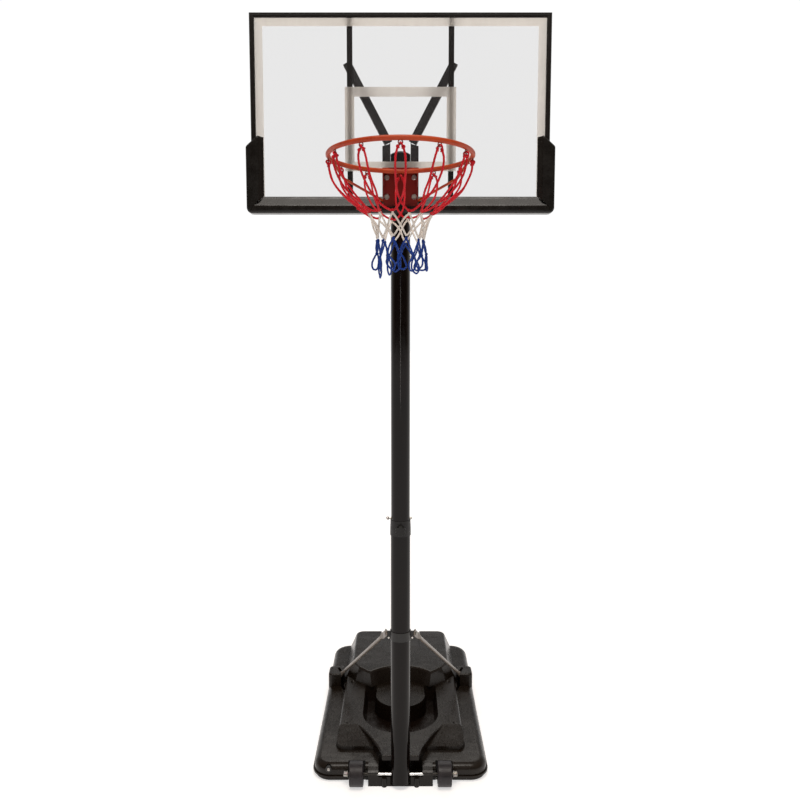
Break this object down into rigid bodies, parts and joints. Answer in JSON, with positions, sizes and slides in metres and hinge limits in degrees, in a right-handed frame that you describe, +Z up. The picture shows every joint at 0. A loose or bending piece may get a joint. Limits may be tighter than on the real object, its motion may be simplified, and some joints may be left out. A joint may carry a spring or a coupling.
{
  "type": "portable basketball hoop",
  "caption": "Free-standing basketball hoop: clear framed board with a red rim and net on a height-adjustable round pole, braced to a wheeled water-filled base.",
  "frame": {"origin": "floor level on the axis of the pole", "axes": "+Z up along the pole, +X to the right when facing the board, +Y towards the rear of the base"},
  "size_m": [1.146, 1.865, 3.0398],
  "materials": {
    "base_tank": "blow-moulded black polyethylene, fine orange-peel skin, soft sheen",
    "water_ballast": "water that fills the tank, out of sight",
    "drain_plug": "light grey moulded screw plug",
    "wheel_axle": "bright zinc-plated steel rod",
    "axle_nuts": "pressed steel cap nuts with washers",
    "wheel_left": "hard black plastic with a satin skin",
    "lower_pole": "glossy black powder coat",
    "pole_foot": "black moulded cap",
    "pole_collar": "satin black moulded bush",
    "clamp_knob": "black moulded hand screw, slightly worn edges",
    "middle_pole": "glossy black powder coat",
    "pole_glide": "natural grey nylon",
    "pole_cap": "black moulded dome cap",
    "pole_joint_bolt": "zinc-plated bolt and nut",
    "height_pin": "zinc-plated pull-out pin",
    "clamp_band": "black coated pressed steel",
    "clamp_bolts": "zinc-plated bolts and nuts",
    "strut_left": "grey-beige coated steel tube",
    "strut_bolts": "dulled zinc bolts",
    "arm_left": "satin black coated pressed steel",
    "cross_bolts": "zinc-plated bolts, nuts and spacers",
    "arm_bolts": "zinc-plated bolts and nuts",
    "board_panel": "clear polycarbonate sheet",
    "border_print": "thin off-white screen print",
    "target_print": "thin off-white screen print",
    "frame_top": "satin black anodised extrusion with a fine raised rib",
    "rail_left": "satin black coated square tube",
    "rail_screws": "dulled zinc screws",
    "pad_bottom": "closed-cell black foam with a matt skin",
    "rim_ring": "orange-red coated steel rod, soft gloss",
    "rim_bracket": "orange-red coated pressed steel",
    "rim_bolts": "zinc-plated hex bolts with flange washers",
    "rim_spacers": "steel tube spacers",
    "plate_gasket": "thin black rubber sheet",
    "net_upper": "braided red nylon cord",
    "net_middle": "braided white nylon cord",
    "net_lower": "braided blue nylon cord"
  },
  "bodies": {
    "base": {"base_tank": "base_tank", "water_ballast": "water_ballast", "drain_plug": "drain_plug", "wheel_axle": "wheel_axle", "axle_nuts": "axle_nuts", "lower_pole": "lower_pole", "pole_foot": "pole_foot", "pole_collar": "pole_collar", "clamp_knob": "clamp_knob", "clamp_band": "clamp_band", "clamp_bolts": "clamp_bolts", "strut_left": "strut_left", "strut_right": "strut_left", "strut_bolts": "strut_bolts"},
    "left_wheel": {"wheel_left": "wheel_left"},
    "right_wheel": {"wheel_right": "wheel_left"},
    "mast": {"middle_pole": "middle_pole", "pole_glide": "pole_glide", "top_pole": "middle_pole", "pole_cap": "pole_cap", "pole_joint_bolt": "pole_joint_bolt", "arm_left": "arm_left", "arm_right": "arm_left", "cross_bolts": "cross_bolts", "arm_bolts": "arm_bolts", "board_panel": "board_panel", "border_print": "border_print", "target_print": "target_print", "frame_top": "frame_top", "frame_bottom": "frame_top", "frame_left": "frame_top", "frame_right": "frame_top", "rail_left": "rail_left", "rail_right": "rail_left", "rail_screws": "rail_screws", "pad_bottom": "pad_bottom", "pad_left": "pad_bottom", "pad_right": "pad_bottom", "rim_ring": "rim_ring", "rim_bracket": "rim_bracket", "rim_braces": "rim_bracket", "net_hooks": "rim_bracket", "rim_bolts": "rim_bolts", "rim_spacers": "rim_spacers", "plate_gasket": "plate_gasket", "net_upper": "net_upper", "net_middle": "net_middle", "net_lower": "net_lower"},
    "pin": {"height_pin": "height_pin"}
  },
  "joints": [
    {"name": "pole_height", "type": "slide", "parent": "base", "child": "mast", "axis": [0, 0, 1], "range_m": [0, 0.61]},
    {"name": "pin_pull", "type": "slide", "parent": "mast", "child": "pin", "axis": [-1, 0, 0], "range_m": [0, 0.1]},
    {"name": "left_wheel_spin", "type": "hinge", "parent": "base", "child": "left_wheel", "pos_m": [-0.182, 0, 0.051], "axis": [1, 0, 0], "continuous": true},
    {"name": "right_wheel_spin", "type": "hinge", "parent": "base", "child": "right_wheel", "pos_m": [0.182, 0, 0.051], "axis": [1, 0, 0], "continuous": true}
  ]
}
